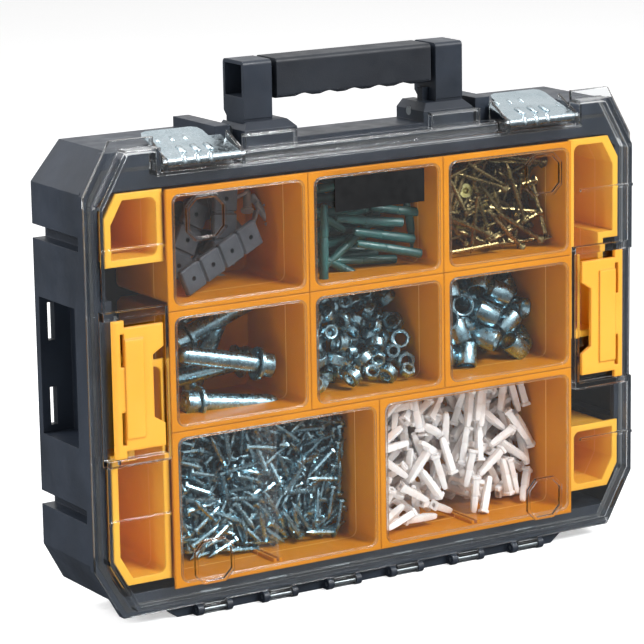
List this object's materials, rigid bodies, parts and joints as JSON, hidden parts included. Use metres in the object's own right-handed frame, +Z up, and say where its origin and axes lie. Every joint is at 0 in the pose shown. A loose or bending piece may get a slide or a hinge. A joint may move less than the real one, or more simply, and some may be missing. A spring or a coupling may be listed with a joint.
{
  "type": "compartment tool case",
  "caption": "Flat parts case with a clear hinged lid, removable yellow cups, two steel latches, side latches and a folding carry handle.",
  "frame": {"origin": "middle of the case's bounding box on the floor, the case standing on its hinge side with the handle up", "axes": "+X the case's width to the right as seen from the clear lid, +Y from the lid to the back, +Z up to the handle"},
  "size_m": [0.44, 0.09, 0.37],
  "materials": {
    "dark_plastic": "fine grained charcoal grey moulding",
    "clear_plastic": "clear, polished",
    "yellow_plastic": "satin yellow-orange moulding",
    "yellow_latch_plastic": "satin yellow-orange moulding",
    "label_black": "bare black label, unprinted",
    "seal_rubber": "soft dark rubber",
    "zinc_steel": "bright zinc plated sheet",
    "pin_steel": "plain steel"
  },
  "bodies": {
    "base": {"base_shell": "dark_plastic", "lid_seal": "seal_rubber", "hinge_pins": "pin_steel", "handle_pin_left": "pin_steel", "handle_pin_right": "pin_steel", "divider_left": "clear_plastic", "divider_right": "clear_plastic", "cup_upper_left": "yellow_plastic", "cup_upper_centre": "yellow_plastic", "cup_upper_right": "yellow_plastic", "cup_middle_left": "yellow_plastic", "cup_middle_centre": "yellow_plastic", "cup_middle_right": "yellow_plastic", "cup_lower_left": "yellow_plastic", "cup_lower_right": "yellow_plastic", "side_cup_short_left": "yellow_plastic", "side_cup_long_left": "yellow_plastic", "side_cup_short_right": "yellow_plastic", "side_cup_long_right": "yellow_plastic"},
    "lid": {"lid_shell": "clear_plastic", "label_plate": "label_black", "latch_pin_left": "pin_steel", "latch_pin_right": "pin_steel", "side_latch_pins_left": "pin_steel", "side_latch_pins_right": "pin_steel"},
    "latch_left": {"steel_latch_left": "zinc_steel"},
    "latch_right": {"steel_latch_right": "zinc_steel"},
    "handle": {"handle_frame": "dark_plastic", "handle_grip": "dark_plastic"},
    "side_latch_left": {"side_latch_left": "yellow_latch_plastic"},
    "side_latch_right": {"side_latch_right": "yellow_latch_plastic"}
  },
  "joints": [
    {"name": "lid_hinge", "type": "hinge", "parent": "base", "child": "lid", "pos_m": [0, -0.0295, 0.004], "axis": [1, 0, 0], "range_deg": [0, 180]},
    {"name": "latch_left_pivot", "type": "hinge", "parent": "lid", "child": "latch_left", "pos_m": [-0.1355, -0.041, 0.3135], "axis": [1, 0, 0], "range_deg": [0, 105]},
    {"name": "latch_right_pivot", "type": "hinge", "parent": "lid", "child": "latch_right", "pos_m": [0.1355, -0.041, 0.3135], "axis": [1, 0, 0], "range_deg": [0, 105]},
    {"name": "handle_pivot", "type": "hinge", "parent": "base", "child": "handle", "pos_m": [0, -0.002, 0.323], "axis": [-1, 0, 0], "range_deg": [0, 90]},
    {"name": "side_latch_left_pivot", "type": "hinge", "parent": "lid", "child": "side_latch_left", "pos_m": [-0.2044, -0.0404, 0.16725], "axis": [0, 0, -1], "range_deg": [0, 110]},
    {"name": "side_latch_right_pivot", "type": "hinge", "parent": "lid", "child": "side_latch_right", "pos_m": [0.2044, -0.0404, 0.16725], "axis": [0, 0, 1], "range_deg": [0, 110]}
  ]
}
